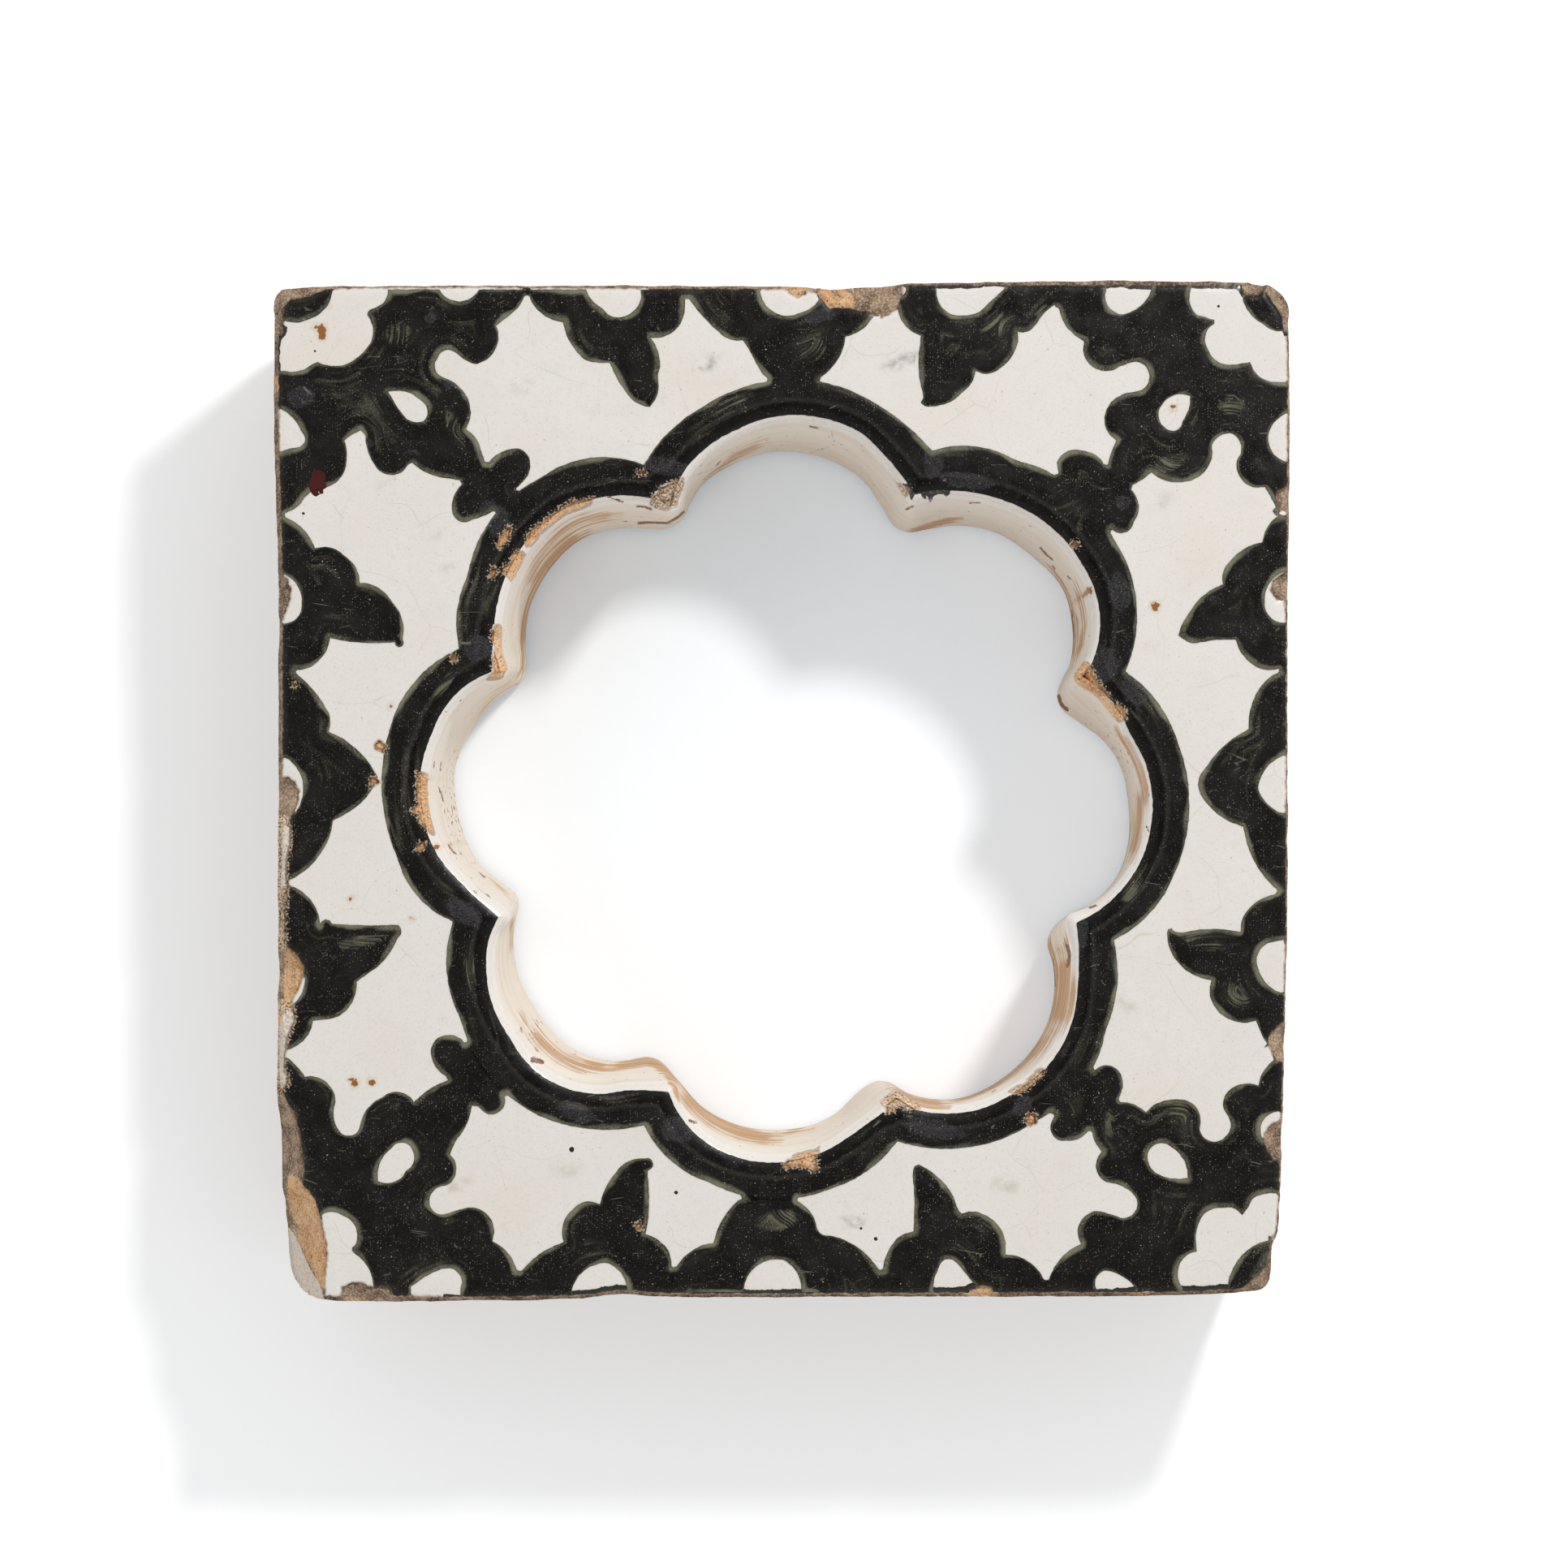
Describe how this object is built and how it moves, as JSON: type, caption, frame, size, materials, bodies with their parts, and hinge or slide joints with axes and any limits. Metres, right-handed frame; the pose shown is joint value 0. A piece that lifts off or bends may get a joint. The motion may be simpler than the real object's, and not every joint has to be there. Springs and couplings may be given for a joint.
{
  "type": "pierced glazed tile",
  "caption": "Thick square glazed earthenware tile pierced by a lobed opening, with a dark painted border of flowers, leaves and corner knots, for a wall lattice or vent.",
  "frame": {"origin": "middle of the base's bounding box, where the tile lies on its back", "axes": "+Z out of the painted face, +Y towards the upper edge of the picture, +X to its right"},
  "size_m": [0.2, 0.2, 0.0503],
  "materials": {
    "fired_clay": "matt, sandy fired clay with broken and worn edges",
    "white_glaze": "glossy warm white tin glaze with fine crazing",
    "dark_paint": "glossy brown-black brushwork fired into the glaze, thinning to grey-green at its edges"
  },
  "bodies": {
    "root": {"clay_body": "fired_clay", "white_glaze": "white_glaze", "painted_opening_band": "dark_paint", "painted_knot_top_left": "dark_paint", "painted_knot_top_right": "dark_paint", "painted_knot_bottom_left": "dark_paint", "painted_knot_bottom_right": "dark_paint", "painted_spray_top_left": "dark_paint", "painted_spray_top_right": "dark_paint", "painted_spray_bottom_left": "dark_paint", "painted_spray_bottom_right": "dark_paint", "painted_leaf_top_1": "dark_paint", "painted_flower_top": "dark_paint", "painted_leaf_top_2": "dark_paint", "painted_leaf_left_1": "dark_paint", "painted_flower_left": "dark_paint", "painted_leaf_left_2": "dark_paint", "painted_leaf_right_1": "dark_paint", "painted_flower_right": "dark_paint", "painted_leaf_right_2": "dark_paint", "painted_leaf_bottom_1": "dark_paint", "painted_flower_bottom": "dark_paint", "painted_leaf_bottom_2": "dark_paint", "painted_corner_top_left": "dark_paint", "painted_corner_top_right": "dark_paint", "painted_corner_bottom_right": "dark_paint"}
  },
  "joints": []
}
